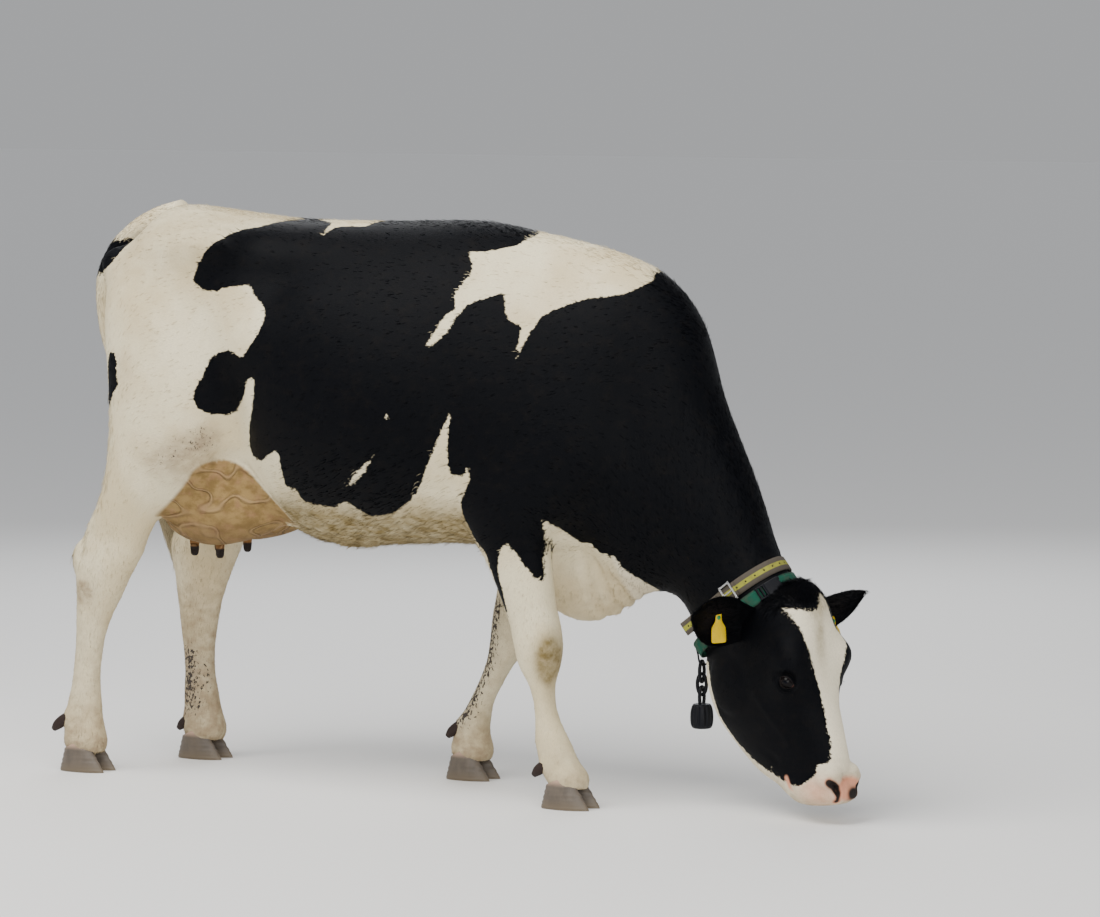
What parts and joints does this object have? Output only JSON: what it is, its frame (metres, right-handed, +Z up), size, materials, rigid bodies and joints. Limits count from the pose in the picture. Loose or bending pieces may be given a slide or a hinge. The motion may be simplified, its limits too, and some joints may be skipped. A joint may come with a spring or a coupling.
{
  "type": "cow",
  "caption": "Life-size grazing black and white dairy cow, head down, with two collars, a hanging weight and ear tags: a still museum model.",
  "frame": {"origin": "on the floor, under the middle of the model's box", "axes": "+X forward, the way the body faces; +Y to the cow's left; +Z up"},
  "size_m": [2.2651, 0.6834, 1.4898],
  "materials": {
    "white_coat": "short soft hair, cream white",
    "black_coat": "short sleek hair, blue black",
    "bare_skin": "bare pink and tan skin",
    "horn": "dull horn",
    "eye": "wet dark brown",
    "grey_strap": "woven strap, grey brown with a yellow green stripe",
    "green_strap": "woven strap, green",
    "buckle": "dull metal",
    "black_plastic": "black moulded plastic",
    "tag": "yellow flexible plastic, blank"
  },
  "bodies": {
    "root": {"buckle": "buckle", "claw_fore_left_left": "horn", "claw_fore_left_right": "horn", "claw_fore_right_left": "horn", "claw_fore_right_right": "horn", "claw_hind_left_left": "horn", "claw_hind_left_right": "horn", "claw_hind_right_left": "horn", "claw_hind_right_right": "horn", "collar_clip": "black_plastic", "collar_end": "grey_strap", "collar_lower": "green_strap", "collar_upper": "grey_strap", "dewclaw_fore_left_left": "horn", "dewclaw_fore_left_right": "horn", "dewclaw_fore_right_left": "horn", "dewclaw_fore_right_right": "horn", "dewclaw_hind_left_left": "horn", "dewclaw_hind_left_right": "horn", "dewclaw_hind_right_left": "horn", "dewclaw_hind_right_right": "horn", "ear_left": "black_coat", "ear_right": "black_coat", "ear_tag_left": "tag", "ear_tag_right": "tag", "eye_left": "eye", "eye_right": "eye", "fore_left_arm": "white_coat", "fore_left_foot": "white_coat", "fore_right_arm": "white_coat", "fore_right_foot": "white_coat", "head": "black_coat", "hind_left_foot": "white_coat", "hind_left_thigh": "white_coat", "hind_right_foot": "white_coat", "hind_right_thigh": "white_coat", "neck": "black_coat", "tail_middle": "black_coat", "tail_root": "black_coat", "tail_tip": "white_coat", "teat_fore_left": "bare_skin", "teat_fore_right": "bare_skin", "teat_hind_left": "bare_skin", "teat_hind_right": "bare_skin", "trunk": "black_coat", "udder": "bare_skin", "weight": "black_plastic", "weight_link_lower": "black_plastic", "weight_link_upper": "black_plastic", "weight_ring": "black_plastic"}
  },
  "joints": []
}
